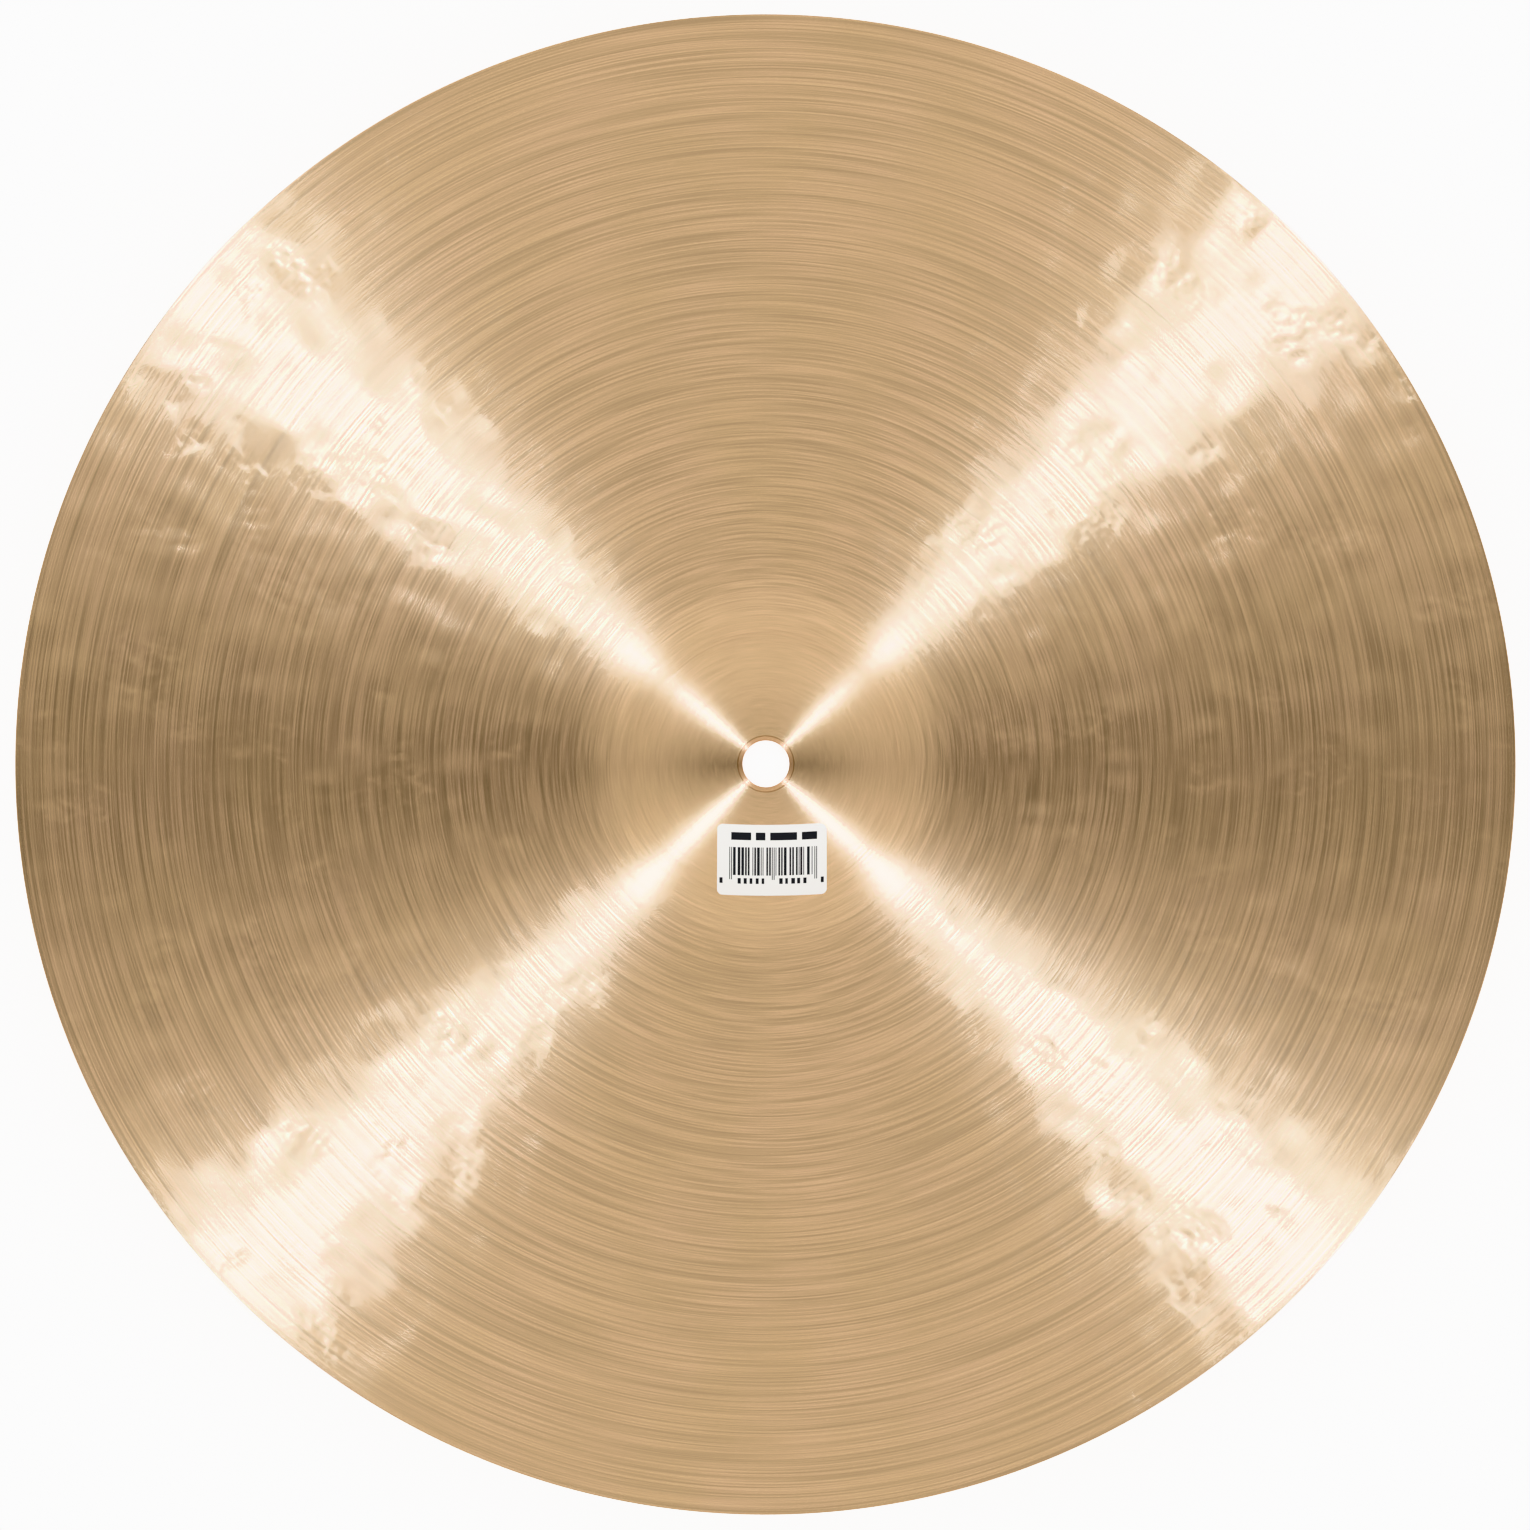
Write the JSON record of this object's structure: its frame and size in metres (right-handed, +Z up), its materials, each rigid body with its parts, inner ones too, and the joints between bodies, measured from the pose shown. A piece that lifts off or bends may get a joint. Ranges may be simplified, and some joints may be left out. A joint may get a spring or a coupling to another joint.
{
  "type": "hand cymbals",
  "caption": "Nested pair of plain bell-bronze orchestral hand cymbals with domed bells, tapered hammered bows and open strap holes.",
  "frame": {"origin": "on the cymbals' common axis, at the height of the surface the lower cymbal's crown rests on", "axes": "+Z up along the axis, with the hollow inner faces looking up; the label is on the -Y side of the hole, its top edge nearest the hole, and +X is to the right of its print"},
  "size_m": [0.4064, 0.4064, 0.0382],
  "materials": {
    "bronze": "hammered and lathed bell bronze, bright, with fine turning lines",
    "label_paper": null
  },
  "bodies": {
    "lower_cymbal": {"lower_cymbal": "bronze"},
    "upper_cymbal": {"upper_cymbal": "bronze", "paper_label": "label_paper"}
  },
  "joints": [
    {"name": "upper_cymbal_lift", "type": "slide", "parent": "lower_cymbal", "child": "upper_cymbal", "axis": [0, 0, 1], "range_m": [0, 0.35]}
  ]
}
